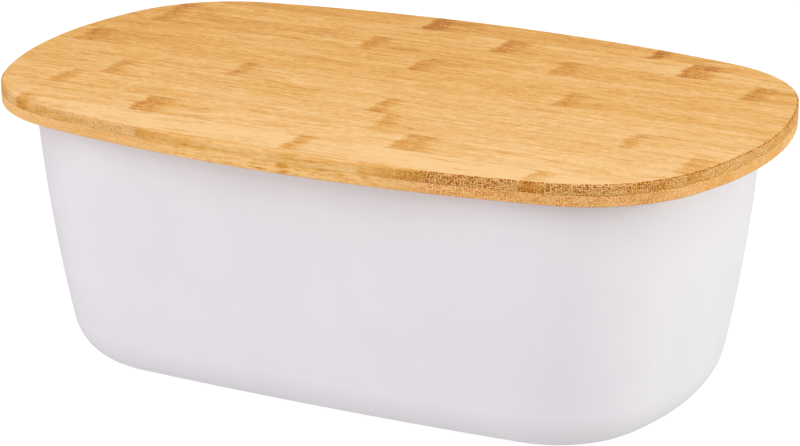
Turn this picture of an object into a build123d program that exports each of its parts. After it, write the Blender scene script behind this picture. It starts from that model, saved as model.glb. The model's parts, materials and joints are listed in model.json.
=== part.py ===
from build123d import *
from math import asin, atan2, cos, degrees, radians, sin, sqrt
import os

# Bread bin: a moulded melamine tub and a loose lid, which is a board of bamboo strips glued in two plies.
# Millimetres. Z is up, X runs along the bin and -Y is its front. The origin is the middle of the
# footprint, on the surface that the bin stands on.

# Outlines are half length, half width, side arc, end arc and corner arc: each long side and each end
# is one shallow arc, and a corner arc is tangent to both.
LID_OUTLINE = (175.0, 107.6, 590.0, 156.0, 63.0)
RIM_OUTLINE = (159.9, 93.95, 1840.0, 152.5, 66.4)

# Tub
TUB_HEIGHT = 123.0
WALL = 3.0
RIM_LEAN = 3.6            # degrees off vertical at the rim; the wall leans inwards as it goes down
WALL_BOW = 766.0          # radius of the wall's slight outward curve from rim to base
BASE_CORNER = 23.0        # outer radius where the wall turns into the base
RIM_ROUND = 1.1
FOOT_HEIGHT = 1.2         # moulded ring that keeps the base off the table
FOOT_WIDTH = 4.0
FOOT_SETBACK = 1.5        # from the end of the base corner to the ring
FOOT_ROUND = 0.5

# Lid board
UPPER_PLY = 4.5
LOWER_PLY = 4.9
STRIP_WIDTH = 21.1
FRONT_JOINT = -103.7      # Y of the upper ply's foremost glue joint
STRIP_COUNT = 11
TOP_BEVEL = 0.8           # the board's edges are eased all round
UNDER_BEVEL = 0.5

# Groove under the lid, which drops over the rim of the tub
GROOVE_DEPTH = 3.0
GROOVE_CLEARANCE = 1.0    # on each side of the wall

LID_UNDERSIDE = TUB_HEIGHT - GROOVE_DEPTH
PLY_JOINT = LID_UNDERSIDE + LOWER_PLY
STAGGER = STRIP_WIDTH / 2


def outline_arcs(half_length, half_width, side_radius, end_radius, corner_radius):
    """The eight arcs of an outline as (centre, radius, start angle, sweep), anticlockwise from the +X end."""
    side = Vector(0, half_width - side_radius)
    end = Vector(half_length - end_radius, 0)
    to_side = side_radius - corner_radius
    to_end = end_radius - corner_radius
    gap = (end - side).length
    step = (end - side) / gap
    along = (to_side**2 - to_end**2 + gap**2) / (2 * gap)
    across = sqrt(to_side**2 - along**2)
    corner = side + step * along + Vector(step.Y, -step.X) * across
    side_blend = degrees(atan2(corner.Y - side.Y, corner.X - side.X))
    end_blend = degrees(atan2(corner.Y - end.Y, corner.X - end.X))
    turn = side_blend - end_blend
    half = [
        (end, end_radius, -end_blend, 2 * end_blend),
        (corner, corner_radius, end_blend, turn),
        (side, side_radius, side_blend, 180 - 2 * side_blend),
        (Vector(-corner.X, corner.Y), corner_radius, 180 - side_blend, turn),
    ]
    return half + [(centre * -1, radius, start + 180, sweep) for centre, radius, start, sweep in half]


def outline_face(outline, inset=0.0):
    """The area inside an outline, drawn in by the inset."""
    arcs = outline_arcs(*outline)
    return make_face([CenterArc(centre, radius - inset, start, sweep) for centre, radius, start, sweep in arcs])


def slab(outline, bottom, height, inset=0.0):
    """A flat plate of an outline, standing on the level given."""
    return Pos(0, 0, bottom) * extrude(outline_face(outline, inset), height)


def wall_section(radius):
    """Section of the wall, base corner and foot ring. X is the distance from the outline arc's centre."""
    lean = radians(RIM_LEAN)
    shell_height = TUB_HEIGHT - FOOT_HEIGHT
    base_turn = asin((shell_height - BASE_CORNER + WALL_BOW * sin(lean)) / (WALL_BOW - BASE_CORNER))
    inner_lean = asin(WALL_BOW * sin(lean) / (WALL_BOW - WALL))
    bow = Vector(radius - WALL_BOW * cos(lean), TUB_HEIGHT + WALL_BOW * sin(lean))
    corner = bow + Vector(cos(base_turn), -sin(base_turn)) * (WALL_BOW - BASE_CORNER)
    turn = 90 - degrees(base_turn)
    outer_bow = CenterArc(bow, WALL_BOW, -RIM_LEAN, RIM_LEAN - degrees(base_turn))
    outer_corner = CenterArc(corner, BASE_CORNER, -degrees(base_turn), -turn)
    inner_corner = CenterArc(corner, BASE_CORNER - WALL, -90, turn)
    inner_bow = CenterArc(bow, WALL_BOW - WALL, -degrees(base_turn), degrees(base_turn - inner_lean))
    foot_out = corner.X - FOOT_SETBACK
    foot_in = foot_out - FOOT_WIDTH
    underside = Polyline(
        outer_corner @ 1,
        (foot_out, FOOT_HEIGHT),
        (foot_out, 0),
        (foot_in, 0),
        (foot_in, FOOT_HEIGHT),
        (foot_in, FOOT_HEIGHT + WALL),
        inner_corner @ 0,
    )
    rim = Line(inner_bow @ 1, outer_bow @ 0)
    section = make_face([outer_bow, outer_corner, *underside.edges(), inner_corner, inner_bow, rim])
    section = fillet(section.vertices().group_by(Axis.Y)[-1], RIM_ROUND)
    return fillet(section.vertices().group_by(Axis.Y)[0], FOOT_ROUND), radius - foot_in


def make_tub():
    """One moulding: the wall's section turned about each arc of the rim outline, closed by a flat floor."""
    sectors = []
    for centre, radius, start, sweep in outline_arcs(*RIM_OUTLINE):
        section, floor_inset = wall_section(radius)
        outward = Vector(cos(radians(start)), sin(radians(start)))
        plane = Plane(origin=centre, x_dir=outward, z_dir=Vector(outward.Y, -outward.X))
        sectors.append(revolve(plane * section, Axis(centre, (0, 0, 1)), sweep))
    floor = slab(RIM_OUTLINE, FOOT_HEIGHT, WALL, floor_inset)
    return floor.fuse(*sectors).clean()


def make_groove():
    """The space routed out of the lid's underside for the rim."""
    outer = slab(RIM_OUTLINE, LID_UNDERSIDE, GROOVE_DEPTH, -GROOVE_CLEARANCE)
    return outer - slab(RIM_OUTLINE, LID_UNDERSIDE, GROOVE_DEPTH, WALL + GROOVE_CLEARANCE)


def make_upper_ply():
    ply = slab(LID_OUTLINE, PLY_JOINT, UPPER_PLY)
    return chamfer(ply.edges().group_by(Axis.Z)[-1], TOP_BEVEL)


def make_lower_ply():
    """The ply that shows underneath. Its outer edge and both edges of the groove are eased."""
    ply = slab(LID_OUTLINE, LID_UNDERSIDE, LOWER_PLY) - make_groove()
    return chamfer(ply.edges().group_by(Axis.Z)[0], UNDER_BEVEL)


def cut_strips(ply, first_joint, bottom, height):
    """A ply cut along X at its glue joints, numbered from the back of the lid to the front."""
    strips = []
    back = first_joint + STRIP_WIDTH * (STRIP_COUNT - 1)
    for number in range(STRIP_COUNT):
        middle = back - STRIP_WIDTH * (number + 0.5)
        saw = Pos(0, middle, bottom + height / 2) * Box(2 * LID_OUTLINE[0] + 10, STRIP_WIDTH, height + 2)
        strips.append((ply & saw).solid())
    return strips


def make_parts():
    parts = {"tub": make_tub()}
    upper = cut_strips(make_upper_ply(), FRONT_JOINT, PLY_JOINT, UPPER_PLY)
    lower = cut_strips(make_lower_ply(), FRONT_JOINT + STAGGER, LID_UNDERSIDE, LOWER_PLY)
    for number in range(STRIP_COUNT):
        parts[f"top_ply_strip_{number + 1:02d}"] = upper[number]
        parts[f"under_ply_strip_{number + 1:02d}"] = lower[number]
    return parts


os.makedirs("parts", exist_ok=True)
for name, shape in make_parts().items():
    export_step(shape, f"parts/{name}.step")
    print(name, round(shape.volume))
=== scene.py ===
"""Looks of the bread bin: a matt melamine tub and a two-ply bamboo board as its lid.

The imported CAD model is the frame. Metres; Z is up, X runs along the bin and -Y is its front.
"""
import json
from math import atan2, cos, pi, radians, sin, sqrt

import bmesh
import bpy
from mathutils import Matrix, Vector

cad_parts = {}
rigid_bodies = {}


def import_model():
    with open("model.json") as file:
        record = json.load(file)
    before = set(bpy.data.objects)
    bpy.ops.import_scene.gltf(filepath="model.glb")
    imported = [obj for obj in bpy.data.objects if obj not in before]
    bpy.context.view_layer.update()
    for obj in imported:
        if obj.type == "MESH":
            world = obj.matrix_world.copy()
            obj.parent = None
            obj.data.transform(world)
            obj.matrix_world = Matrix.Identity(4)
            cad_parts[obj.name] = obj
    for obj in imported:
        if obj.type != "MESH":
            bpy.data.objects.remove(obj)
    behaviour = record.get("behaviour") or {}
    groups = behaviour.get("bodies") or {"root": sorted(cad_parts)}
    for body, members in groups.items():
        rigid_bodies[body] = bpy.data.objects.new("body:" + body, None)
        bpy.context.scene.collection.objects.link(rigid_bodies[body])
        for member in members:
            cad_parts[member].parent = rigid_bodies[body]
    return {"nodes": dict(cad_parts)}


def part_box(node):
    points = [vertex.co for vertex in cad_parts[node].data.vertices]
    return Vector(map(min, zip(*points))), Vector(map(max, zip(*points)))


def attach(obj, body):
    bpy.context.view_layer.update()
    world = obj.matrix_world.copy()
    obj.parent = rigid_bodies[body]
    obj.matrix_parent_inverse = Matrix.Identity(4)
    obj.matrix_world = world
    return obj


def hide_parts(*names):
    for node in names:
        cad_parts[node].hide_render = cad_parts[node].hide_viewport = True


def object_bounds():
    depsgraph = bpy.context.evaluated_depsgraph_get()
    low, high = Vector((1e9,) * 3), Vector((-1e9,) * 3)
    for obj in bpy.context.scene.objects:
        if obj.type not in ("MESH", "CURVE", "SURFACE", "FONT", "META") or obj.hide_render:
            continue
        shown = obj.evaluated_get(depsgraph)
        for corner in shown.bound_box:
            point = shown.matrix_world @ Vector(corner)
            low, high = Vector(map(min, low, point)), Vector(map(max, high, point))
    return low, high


for leftover in list(bpy.data.objects):
    bpy.data.objects.remove(leftover)
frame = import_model()
CAD_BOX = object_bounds()

MM = 0.001

# Outlines: half length, half width, then the radii of the side, end and corner arcs, as in the CAD.
LID_OUTLINE = (175.0 * MM, 107.6 * MM, 590.0 * MM, 156.0 * MM, 63.0 * MM)
RIM_OUTLINE = (159.9 * MM, 93.95 * MM, 1840.0 * MM, 152.5 * MM, 66.4 * MM)
ARC_STEPS = (16, 20, 44, 20)       # on the end, corner, side and corner arcs of half an outline

# Lid board. Its groove drops over the tub's wall, with a clearance on each side.
PLY_JOINT = 124.9 * MM
GROOVE_DEPTH = 3.0 * MM
GROOVE_CLEARANCE = 1.0 * MM
WALL = 3.0 * MM

# Rounded edges of the board and of the groove's mouth, whose only middle ring is set in from both faces
TOP_ROUND = 1.0 * MM
UNDER_ROUND = 0.6 * MM
ROUND_STEPS = 5
MOUTH_ROUND = 0.4 * MM
MOUTH_MIDDLE = 0.3 * MOUTH_ROUND
CREASE = radians(40)               # faces that meet at a sharper angle show a crisp edge

# Camera: its direction, and how far to the right of and below the middle of the lid's top it aims
AZIMUTH = radians(27.517)
ELEVATION = radians(18.771)
ROLL = radians(-0.313)
DISTANCE = 1418.7 * MM
AIM_RIGHT = 2.2 * MM
AIM_DOWN = 60.07 * MM
SENSOR_WIDTH = 36.0
LENS = 147.5

# Brightness of the white surroundings straight down, just under the horizon and over it, and the
# heights of a direction, -1 straight down to 1 straight up, between which it changes
SKY_DOWN = 0.97
SKY_BELOW = 0.5
SKY_ABOVE = 0.95
DOWN_TO_BELOW = (-0.95, -0.4)
BELOW_TO_ABOVE = (-0.3, 0.3)

# Soft boxes: name, place, what it faces, width and height, power and colour
LIGHTS = [
    ("high_front", (0.2, -1.2, 1.2), (0, 0, 0.1), (1.2, 0.8), 5.2, (1, 1, 1)),
    ("front_fill", (-1.25, -1.5, 0.42), (0, 0, 0.06), (1.4, 0.5), 8.4, (1, 1, 1)),
    ("right_end", (1.75, 0.55, 0.5), (0, 0, 0.06), (1.2, 0.6), 15.5, (0.94, 1, 0.94)),
]

# White table: half its width, its own grey and its glow
FLOOR_REACH = 6.0
FLOOR_GREY = 0.28
FLOOR_GLOW = 0.83

# Each strip from the back to the front: its tone from 0, deep honey, to 1, pale straw, and the marks
# left by the culm's nodes as (X of the middle in mm, width in mm, strength).
TOP_STRIPS = [
    (0.35, [(-27.5, 10, 1.15), (84, 8, 0.9)]),
    (0.52, [(-149, 9, 0.5), (19, 12, 0.68), (110, 14, 0.88)]),
    (0.44, [(-147, 8, 0.42), (-40, 9, 0.47), (56, 11, 0.43), (146, 10, 0.5)]),
    (0.53, [(-2, 10, 0.5)]),
    (0.50, [(-160, 12, 0.5), (77, 9, 0.48)]),
    (0.60, [(-72, 7, 0.44)]),
    (0.62, [(-123, 8, 0.42), (10.5, 8, 0.5), (124.5, 7, 0.38)]),
    (0.68, [(-135, 8, 0.38), (22, 9, 0.28), (160, 10, 0.45)]),
    (0.72, [(-79.5, 14, 0.64), (45, 15, 0.5)]),
    (0.93, [(-132.5, 10, 0.65), (2.5, 8, 0.6), (110, 9, 0.5)]),
    (0.70, [(-78, 24, 0.22), (-44, 3, 0.15), (50, 26, 0.22)]),
]
UNDER_STRIPS = [
    (0.75, [(30, 9, 0.4)]),
    (0.85, [(-90, 9, 0.4), (62, 10, 0.5)]),
    (0.65, [(-20, 10, 0.6), (118, 8, 0.5)]),
    (0.78, [(-128, 9, 0.6), (48, 11, 0.6)]),
    (0.90, [(-55, 8, 0.5), (95, 9, 0.6)]),
    (0.70, [(12, 12, 0.7)]),
    (0.82, [(-104, 10, 0.6), (38, 8, 0.5)]),
    (0.68, [(-36, 9, 0.7), (88, 12, 0.6)]),
    (0.80, [(-2, 8, 0.6)]),
    (0.85, [(-18, 10, 0.6)]),
    (0.78, [(3, 5, 0.5)]),
]

# The two display colours that the tub's mottle runs between
MELAMINE_TONES = ((226, 221, 227), (229, 224, 229))

# Bamboo from its darkest fibres to its usual ground, and its darker parts, as display colours
WOOD_TONES = ((150, 86, 20), (194, 130, 44), (217, 161, 82))
NODE_COLOUR = (200, 128, 36)
GLUE_COLOUR = (150, 92, 38)
# Each ply: where its noise starts, its palest ground, how far its fibres stand out and how much paler it
# grows towards +X, on the top ply painted light, as if lit more from the right, and on the under ply
# negative, so it grows paler towards -X. Then its cut ends: their change of tone, the flat +X and -X ends'
# own, and their dots.
TOP_PLY = {
    "shift": 0.0, "palest": (233, 190, 131), "fibres": 1.0, "painted_light_and_tone_per_mm": 0.0006,
    "end_shade": -0.32, "flat_end": 0.14, "dots": 1.0, "dot_colour": (144, 74, 20),
}
UNDER_PLY = {
    "shift": 171.0, "palest": (237, 189, 125), "fibres": 1.7, "painted_light_and_tone_per_mm": -0.0006,
    "end_shade": 0.1, "flat_end": 0.08, "dots": 0.85, "dot_colour": (192, 112, 44),
}


def linear(red, green, blue):
    """A display colour, 0 to 255 a channel, as scene-linear RGBA."""
    channels = [c / 255 for c in (red, green, blue)]
    return tuple(c / 12.92 if c <= 0.04045 else ((c + 0.055) / 1.055) ** 2.4 for c in channels) + (1.0,)


# ---------------------------------------------------------------- node graphs


class Graph:
    """Adds shader nodes to a material or world. Each method returns the output that the next one takes."""

    def __init__(self, owner, shader):
        owner.use_nodes = True
        self.owner = owner
        self.tree = owner.node_tree
        self.shader = self.tree.nodes[shader].inputs

    def node(self, kind, **settings):
        made = self.tree.nodes.new(kind)
        for key, value in settings.items():
            setattr(made, key, value)
        return made

    def feed(self, socket, value):
        if isinstance(value, bpy.types.NodeSocket):
            self.tree.links.new(value, socket)
        else:
            socket.default_value = value

    def math(self, operation, *values):
        made = self.node("ShaderNodeMath", operation=operation)
        for socket, value in zip(made.inputs, values):
            self.feed(socket, value)
        return made.outputs[0]

    def coordinates(self, kind="Object"):
        return self.node("ShaderNodeTexCoord").outputs[kind]

    def split(self, vector):
        made = self.node("ShaderNodeSeparateXYZ")
        self.feed(made.inputs[0], vector)
        return made.outputs

    def join(self, *values):
        made = self.node("ShaderNodeCombineXYZ")
        for socket, value in zip(made.inputs, values):
            self.feed(socket, value)
        return made.outputs[0]

    def mapped(self, vector, scale, shift=(0, 0, 0)):
        made = self.node("ShaderNodeMapping")
        self.feed(made.inputs["Vector"], vector)
        made.inputs["Scale"].default_value = scale
        made.inputs["Location"].default_value = shift
        return made.outputs[0]

    def noise(self, vector, scale, detail, rough):
        made = self.node("ShaderNodeTexNoise")
        self.feed(made.inputs["Vector"], vector)
        self.feed(made.inputs["Scale"], scale)
        self.feed(made.inputs["Detail"], detail)
        self.feed(made.inputs["Roughness"], rough)
        return made.outputs[0]

    def cells(self, x, y, randomness):
        """Distance to the nearest of scattered points, one to each unit square of the plane."""
        made = self.node("ShaderNodeTexVoronoi", voronoi_dimensions="2D")
        self.feed(made.inputs["Vector"], self.join(x, y, 0.0))
        self.feed(made.inputs["Scale"], 1.0)
        self.feed(made.inputs["Randomness"], randomness)
        return made.outputs["Distance"]

    def ease(self, value, low, high, start=0.0, end=1.0):
        made = self.node("ShaderNodeMapRange", interpolation_type="SMOOTHSTEP")
        for key, amount in (("Value", value), ("From Min", low), ("From Max", high)):
            self.feed(made.inputs[key], amount)
        self.feed(made.inputs["To Min"], start)
        self.feed(made.inputs["To Max"], end)
        return made.outputs[0]

    def fold(self, operation, *values):
        """Several values brought together by one operation, such as their sum."""
        result = values[0]
        for value in values[1:]:
            result = self.math(operation, result, value)
        return result

    def swing(self, value, amount):
        """A noise about its middle: from minus half the amount to plus half of it."""
        return self.math("MULTIPLY", self.math("SUBTRACT", value, 0.5), amount)

    def ramp(self, value, colours):
        """Evenly spaced display colours, from 0 to 1."""
        made = self.node("ShaderNodeValToRGB")
        stops = made.color_ramp.elements
        while len(stops) < len(colours):
            stops.new(0.5)
        for index, colour in enumerate(colours):
            stops[index].position = index / (len(colours) - 1)
            stops[index].color = linear(*colour)
        self.feed(made.inputs[0], value)
        return made.outputs[0]

    def mix(self, factor, first, second):
        made = self.node("ShaderNodeMix", data_type="RGBA")
        self.feed(made.inputs[0], factor)
        self.feed(made.inputs[6], first)
        self.feed(made.inputs[7], second)
        return made.outputs[2]

    def bump(self, height, strength, distance, under=None):
        made = self.node("ShaderNodeBump")
        self.feed(made.inputs["Height"], height)
        self.feed(made.inputs["Strength"], strength)
        self.feed(made.inputs["Distance"], distance)
        if under is not None:
            self.feed(made.inputs["Normal"], under)
        return made.outputs[0]


# ---------------------------------------------------------------- camera and studio


def make_camera():
    back = Vector((sin(AZIMUTH) * cos(ELEVATION), -cos(AZIMUTH) * cos(ELEVATION), sin(ELEVATION)))
    right = Vector((cos(AZIMUTH), sin(AZIMUTH), 0))
    up = back.cross(right)
    turned_right = right * cos(ROLL) + up * sin(ROLL)
    turned_up = up * cos(ROLL) - right * sin(ROLL)
    lid_top = Vector((0, 0, CAD_BOX[1][2]))
    aim = lid_top + turned_right * AIM_RIGHT - turned_up * AIM_DOWN
    camera = bpy.data.objects.new("camera", bpy.data.cameras.new("camera"))
    camera.data.sensor_width = SENSOR_WIDTH
    camera.data.lens = LENS
    camera.data.clip_end = 50
    rotation = Matrix((turned_right, turned_up, back)).transposed().to_4x4()
    camera.matrix_world = Matrix.Translation(aim + back * DISTANCE) @ rotation
    bpy.context.scene.collection.objects.link(camera)
    bpy.context.scene.camera = camera


def area_light(name, place, aim, size, power, colour):
    light = bpy.data.lights.new(name, "AREA")
    light.shape = "RECTANGLE"
    light.size, light.size_y = size
    light.energy = power
    light.color = colour
    lamp = bpy.data.objects.new(name, light)
    lamp.location = place
    lamp.rotation_euler = (Vector(aim) - Vector(place)).to_track_quat("-Z", "Y").to_euler()
    bpy.context.scene.collection.objects.link(lamp)


def make_surroundings():
    """An even white sky, dimmer below the horizon except straight down, where the table glows."""
    g = Graph(bpy.data.worlds.new("studio"), "Background")
    upward = g.split(g.coordinates("Generated"))[2]
    below = g.ease(upward, *DOWN_TO_BELOW, SKY_DOWN, SKY_BELOW)
    g.feed(g.shader["Strength"], g.ease(upward, *BELOW_TO_ABOVE, below, SKY_ABOVE))
    g.shader["Color"].default_value = (1, 1, 1, 1)
    bpy.context.scene.world = g.owner


def light_table():
    g = Graph(bpy.data.materials.new("light_table"), "Principled BSDF")
    g.shader["Base Color"].default_value = (FLOOR_GREY, FLOOR_GREY, FLOOR_GREY, 1)
    g.shader["Roughness"].default_value = 0.9
    g.shader["Specular IOR Level"].default_value = 0.0
    g.shader["Emission Color"].default_value = (1, 1, 1, 1)
    g.shader["Emission Strength"].default_value = FLOOR_GLOW
    return g.owner


def make_floor():
    """A white table that glows, so shadows on it are faint. It throws no light back on the bin."""
    corners = [(x * FLOOR_REACH, y * FLOOR_REACH, 0) for x, y in ((-1, -1), (1, -1), (1, 1), (-1, 1))]
    floor_mesh = bpy.data.meshes.new("floor")
    floor_mesh.from_pydata(corners, [], [(0, 1, 2, 3)])
    floor_mesh.materials.append(light_table())
    floor = bpy.data.objects.new("floor", floor_mesh)
    bpy.context.scene.collection.objects.link(floor)
    floor.visible_diffuse = False
    floor.visible_glossy = False


def make_studio():
    bpy.context.scene.view_settings.view_transform = "Standard"
    make_surroundings()
    make_floor()
    for light in LIGHTS:
        area_light(*light)


# ---------------------------------------------------------------- materials


def melamine():
    """Matt moulded melamine, pale lilac-white, with the faint mottle and tooth of its pressed surface."""
    g = Graph(bpy.data.materials.new("melamine"), "Principled BSDF")
    place = g.coordinates()
    mottle = g.noise(place, 28, 4, 0.6)
    tooth = g.noise(place, 2600, 3, 0.6)
    swell = g.noise(place, 90, 2, 0.5)
    sheen = g.noise(place, 60, 3, 0.6)
    darker, paler = (linear(*tone) for tone in MELAMINE_TONES)
    g.feed(g.shader["Base Color"], g.mix(g.ease(mottle, 0.3, 0.7), darker, paler))
    g.feed(g.shader["Roughness"], g.ease(sheen, 0.3, 0.7, 0.46, 0.54))
    relief = g.bump(swell, 0.08, 0.4 * MM)
    g.feed(g.shader["Normal"], g.bump(tooth, 0.12, 0.03 * MM, relief))
    return g.owner


class Bamboo(Graph):
    """Bamboo as a solid: fibres run along X, so faces show them as streaks and cut ends as dots.

    Lengths are in millimetres here. Joints are the Y of the strip's glue joints with its neighbours.
    """

    def __init__(self, name, number, joints, ply):
        super().__init__(bpy.data.materials.new(name), "Principled BSDF")
        self.ply = ply
        self.joints = joints
        self.shift = (37.0 * number, 13.7 * number, 5.3 * number + ply["shift"])
        self.place = self.mapped(self.coordinates(), (1 / MM, 1 / MM, 1 / MM))
        self.along, self.across, self.height = self.split(self.place)
        self.lay_fibres()
        self.find_cut_ends()

    def grain(self, vector, sizes, detail=1, rough=0.5, shift=None):
        """A noise of grains with these sizes along, across and up the strip."""
        scale = tuple(1 / size for size in sizes)
        return self.noise(self.mapped(vector, scale, shift or self.shift), 1, detail, rough)

    def lay_fibres(self):
        """Noises drawn out along the fibres, which wander a little across the strip."""
        bend = self.swing(self.grain(self.place, (32, 11, 11)), 5.0)
        self.wavy = self.join(self.along, self.math("ADD", self.across, bend), self.height)
        self.clouds = self.grain(self.wavy, (75, 8, 8), 2)
        self.streaks = self.grain(self.wavy, (28, 2.6, 1.8), 3, 0.6)
        self.fine = self.grain(self.wavy, (4, 1.2, 0.8), 3, 0.75)

    def find_cut_ends(self):
        """Where the surface cuts across the fibres. It shows most round the board's right-hand corners."""
        self.facing = self.math("ABSOLUTE", self.split(self.coordinates("Normal"))[0])
        # Only the board's two outermost strips, with one joint each, show a long side at its edge
        start, full = (0.06, 0.13) if len(self.joints) == 1 else (0.02, 0.06)
        self.end_grain = self.ease(self.facing, start, full)
        more_to_the_right = self.ease(self.along, -80, 80, 0.42, 1.0)
        less_on_the_flat = self.ease(self.facing, 0.75, 0.95, 1.0, 0.6)
        self.cut = self.fold("MULTIPLY", self.end_grain, more_to_the_right, less_on_the_flat)

    def node_mark(self, start, patches, middle, width, strength):
        """One node: its browned area, dark line, the pale wood just before it and its trail, 0 to 1 each."""
        offset = self.math("SUBTRACT", start, middle + 1 - width / 2)
        rise = self.ease(offset, -1.5, 1.8)
        fall = self.ease(offset, 1.2 * width, 0.6 * width, 0.0, strength)
        near = self.ease(self.math("ABSOLUTE", self.math("SUBTRACT", offset, 2.2)), 3.8, 0.3, 0.0, strength)
        before = self.ease(offset, -16, -2, 0.0, strength)
        tail = self.ease(offset, width + 30, 0.6 * width, 0.0, strength)
        return (
            self.math("MULTIPLY", rise, fall),
            self.math("MULTIPLY", near, patches),
            self.math("MULTIPLY", before, self.ease(offset, 0.0, -1.5)),
            self.math("MULTIPLY", rise, tail),
        )

    def node_marks(self, marks):
        """The culm's nodes across a strip: each starts at a ragged line, fades out and trails streaks."""
        wander = self.swing(self.grain(self.wavy, (90, 7, 7)), 7.0)
        fray = self.swing(self.grain(self.wavy, (1.4, 1.0, 1.0), 3, 0.7), 5.0)
        patches = self.ease(self.grain(self.wavy, (30, 3, 3)), 0.35, 0.62)
        start = self.fold("ADD", self.along, wander, fray)
        each = [self.node_mark(start, patches, *mark) for mark in marks]
        return [self.fold("MAXIMUM", *alike) for alike in zip(*each)]

    def fibres(self):
        """What the fibres add to the wood's tone: streaks with darker dashes and paler glints."""
        dashes = self.grain(self.wavy, (20, 1.6, 1.1))
        glints = self.grain(self.wavy, (14, 1.5, 1.1), shift=(5, 91, 17))
        return self.fold(
            "ADD",
            self.swing(self.streaks, 0.62),
            self.swing(self.fine, 1.45),
            self.ease(dashes, 0.5, 0.75, 0.0, -0.32),
            self.ease(glints, 0.5, 0.75, 0.05, 0.24),
        )

    def wood(self, tone, marks):
        """The wood's colour without its dots and glue, from everything that makes it paler or darker."""
        browned, line, pale, trail = self.node_marks(marks)
        flecks = self.grain(self.place, (1.1, 2.2, 1.2), 2, 0.7)
        fibre_strength = self.ease(self.end_grain, 0.0, 1.0, self.ply["fibres"], 0.3)
        level = self.fold(
            "ADD",
            tone,
            self.swing(self.clouds, 0.6),
            # Painted light on the top ply: paler towards +X, as if lit more from the right. The under ply
            # grows paler towards -X
            self.math("MULTIPLY", self.along, self.ply["painted_light_and_tone_per_mm"]),
            self.math("MULTIPLY", self.fibres(), fibre_strength),
            self.math("MULTIPLY", browned, self.swing(flecks, 3.0)),
            self.math("MULTIPLY", browned, -0.44),
            self.math("MULTIPLY", line, -0.32),
            self.math("MULTIPLY", pale, 0.13),
            self.math("MULTIPLY", trail, self.ease(self.streaks, 0.62, 0.42, 0.0, -0.34)),
            self.math("MULTIPLY", self.cut, self.ply["end_shade"]),
            self.ease(self.facing, 0.75, 0.95, 0.0, self.ply["flat_end"]),
        )
        # Levels 0 to 1 run over the paler three of the ramp's four colours
        spread = self.math("MULTIPLY_ADD", level, 2 / 3, 1 / 3)
        ground = self.ramp(spread, WOOD_TONES + (self.ply["palest"],))
        return self.mix(self.math("MULTIPLY", browned, 0.35), ground, linear(*NODE_COLOUR))

    def bundle_dots(self):
        """The cut ends of the fibre bundles, spaced evenly round the corners of the board, 0 to 1."""
        lengthwise, crosswise = (self.math("ABSOLUTE", way) for way in (self.along, self.across))
        columns = self.math("DIVIDE", self.math("SUBTRACT", lengthwise, crosswise), 1.3)
        rows = self.math("DIVIDE", self.height, 0.8)
        spots = self.ease(self.cells(columns, rows, 0.65), 0.55, 0.28)
        density = self.grain(self.place, (5, 5, 1.5), 2, 0.6)
        return self.fold("MULTIPLY", spots, self.cut, self.ease(density, 0.35, 0.6, 0.4, 1.0))

    def glue(self):
        """The glue between the plies, dark in places only, and at the strip's own joints, 0 to 1."""
        to_ply = self.math("ABSOLUTE", self.math("SUBTRACT", self.height, PLY_JOINT / MM))
        in_places = self.ease(self.clouds, 0.45, 0.65, 0.0, 0.75)
        lines = [self.math("MULTIPLY", self.ease(to_ply, 0.4, 0.1), in_places)]
        strength = self.ease(self.end_grain, 0.0, 1.0, 0.22, 0.05)
        for joint in self.joints:
            to_joint = self.math("ABSOLUTE", self.math("SUBTRACT", self.across, joint))
            lines.append(self.ease(to_joint, 0.3, 0.05, 0.0, strength))
        return self.fold("MAXIMUM", *lines)


def bamboo(name, number, tone, marks, joints, ply):
    """The bamboo of one strip."""
    g = Bamboo(name, number, joints, ply)
    dots = g.bundle_dots()
    dotted = g.mix(g.math("MULTIPLY", dots, ply["dots"]), g.wood(tone, marks), linear(*ply["dot_colour"]))
    g.feed(g.shader["Base Color"], g.mix(g.glue(), dotted, linear(*GLUE_COLOUR)))
    g.feed(g.shader["Roughness"], g.ease(g.streaks, 0.3, 0.7, 0.52, 0.64))
    g.shader["Specular IOR Level"].default_value = 0.12
    relief = g.bump(g.math("SUBTRACT", g.fine, g.math("MULTIPLY", dots, 0.8)), 0.35, 0.06 * MM)
    g.feed(g.shader["Normal"], g.bump(g.streaks, 0.15, 0.1 * MM, relief))
    return g.owner


# ---------------------------------------------------------------- meshes


def outline_points(outline, inset):
    """Points of an outline drawn in by the inset, anticlockwise from where the +X end's arc starts."""
    half_length, half_width, side_radius, end_radius, corner_radius = outline
    side = Vector((0, half_width - side_radius))
    end = Vector((half_length - end_radius, 0))
    to_side = side_radius - corner_radius
    to_end = end_radius - corner_radius
    gap = (end - side).length
    step = (end - side) / gap
    along = (to_side**2 - to_end**2 + gap**2) / (2 * gap)
    across = sqrt(to_side**2 - along**2)
    corner = side + step * along + Vector((step.y, -step.x)) * across
    side_blend = atan2(corner.y - side.y, corner.x - side.x)
    end_blend = atan2(corner.y - end.y, corner.x - end.x)
    arcs = [
        (end, end_radius, -end_blend, end_blend),
        (corner, corner_radius, end_blend, side_blend),
        (side, side_radius, side_blend, pi - side_blend),
        (Vector((-corner.x, corner.y)), corner_radius, pi - side_blend, pi - end_blend),
    ]
    half = []
    for (centre, radius, start, stop), steps in zip(arcs, ARC_STEPS):
        for count in range(steps):
            angle = start + (stop - start) * count / steps
            half.append(centre + Vector((cos(angle), sin(angle))) * (radius - inset))
    return half + [-point for point in half]


def loft(rings):
    """A closed mesh through rings of (outline, inset, level), with a flat cap on the first and last."""
    shape = bmesh.new()
    loops = []
    for outline, inset, level in rings:
        points = outline_points(outline, inset)
        loops.append([shape.verts.new((point.x, point.y, level)) for point in points])
    count = len(loops[0])
    for upper, lower in zip(loops, loops[1:]):
        for index in range(count):
            following = (index + 1) % count
            shape.faces.new((upper[index], lower[index], lower[following], upper[following]))
    shape.faces.new(loops[0])
    shape.faces.new(reversed(loops[-1]))
    bmesh.ops.recalc_face_normals(shape, faces=shape.faces)
    for face in shape.faces:
        face.smooth = True
    return shape


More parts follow.
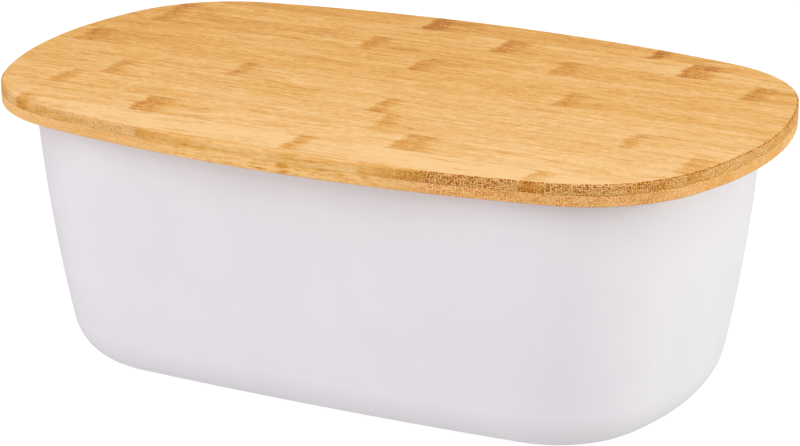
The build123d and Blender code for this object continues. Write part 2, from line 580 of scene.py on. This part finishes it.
def quarter_round(outline, inset, level, radius, downward):
    """Rings of a rounded outer edge, from the flat face to the side when downward, or back again."""
    rings = []
    for count in range(ROUND_STEPS + 1):
        angle = pi / 2 * count / ROUND_STEPS
        if downward:
            rings.append((outline, inset + radius * (1 - sin(angle)), level - radius * (1 - cos(angle))))
        else:
            rings.append((outline, inset + radius * (1 - cos(angle)), level + radius * (1 - sin(angle))))
    return rings


def finish_mesh(shape, name, material):
    """The object of a mesh: smooth on its curves, crisp at saw cuts and where faces meet at an angle."""
    for edge in shape.edges:
        shallow = edge.calc_face_angle(0) < CREASE
        edge.smooth = shallow and all(face.smooth for face in edge.link_faces)
    mesh = bpy.data.meshes.new(name)
    shape.to_mesh(mesh)
    shape.free()
    mesh.materials.append(material)
    piece = bpy.data.objects.new(name, mesh)
    bpy.context.scene.collection.objects.link(piece)
    even = piece.modifiers.new("even_normals", "WEIGHTED_NORMAL")
    even.keep_sharp = True
    return piece


def upper_ply(bottom, top):
    rings = quarter_round(LID_OUTLINE, 0, top, TOP_ROUND, True)
    return loft(rings + [(LID_OUTLINE, 0, bottom)])


def groove_wall(inset, outward, bottom):
    """Rings of one wall of the groove, up from its rounded mouth. Outward, 1 or -1, is away from the gap."""
    return [
        (RIM_OUTLINE, inset + outward * MOUTH_ROUND, bottom),
        (RIM_OUTLINE, inset + outward * MOUTH_MIDDLE, bottom + MOUTH_MIDDLE),
        (RIM_OUTLINE, inset, bottom + MOUTH_ROUND),
        (RIM_OUTLINE, inset, bottom + GROOVE_DEPTH),
    ]


def lower_ply(bottom, top):
    """The lower ply, with the groove that drops over the rim of the tub."""
    rings = [(LID_OUTLINE, 0, top)]
    rings += quarter_round(LID_OUTLINE, 0, bottom, UNDER_ROUND, False)
    rings += groove_wall(-GROOVE_CLEARANCE, -1, bottom)
    rings += reversed(groove_wall(WALL + GROOVE_CLEARANCE, 1, bottom))
    return loft(rings)


def is_joint(level):
    """Whether a strip's side at this Y is glued to a neighbour, and not the board's own edge."""
    return abs(level) < LID_OUTLINE[1] - 0.1 * MM


def saw_strip(ply, low, high):
    """The part of a ply between two glue joints, closed where it is cut."""
    strip = ply.copy()
    for level, side in ((low, -1), (high, 1)):
        if not is_joint(level):
            continue
        everything = strip.verts[:] + strip.edges[:] + strip.faces[:]
        bmesh.ops.bisect_plane(
            strip, geom=everything, plane_co=(0, level, 0), plane_no=(0, side, 0), clear_outer=True
        )
        open_edges = [edge for edge in strip.edges if edge.is_boundary]
        filled = bmesh.ops.holes_fill(strip, edges=open_edges, sides=0)
        for face in filled["faces"]:
            face.smooth = False
    bmesh.ops.recalc_face_normals(strip, faces=strip.faces)
    return strip


def make_ply(layer, strips, build, ply):
    """One ply of the lid: the whole board's shape cut at the CAD's glue joints, a piece to each strip."""
    # Every strip of a ply has the same two levels, here read from the middle one
    bottom, top = (corner.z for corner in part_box(f"{layer}_strip_06"))
    board = build(bottom, top)
    for number, (tone, marks) in enumerate(strips, start=1):
        node = f"{layer}_strip_{number:02d}"
        low, high = (corner.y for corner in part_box(node))
        joints = [level / MM for level in (low, high) if is_joint(level)]
        material = bamboo(f"{layer}_{number:02d}", number, tone, marks, joints, ply)
        piece = finish_mesh(saw_strip(board, low, high), f"bamboo_{node}", material)
        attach(piece, "lid")
        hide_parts(node)
    board.free()


# ---------------------------------------------------------------- the bin

make_camera()
make_studio()

frame["nodes"]["tub"].material_slots[0].material = melamine()
make_ply("top_ply", TOP_STRIPS, upper_ply, TOP_PLY)
make_ply("under_ply", UNDER_STRIPS, lower_ply, UNDER_PLY)
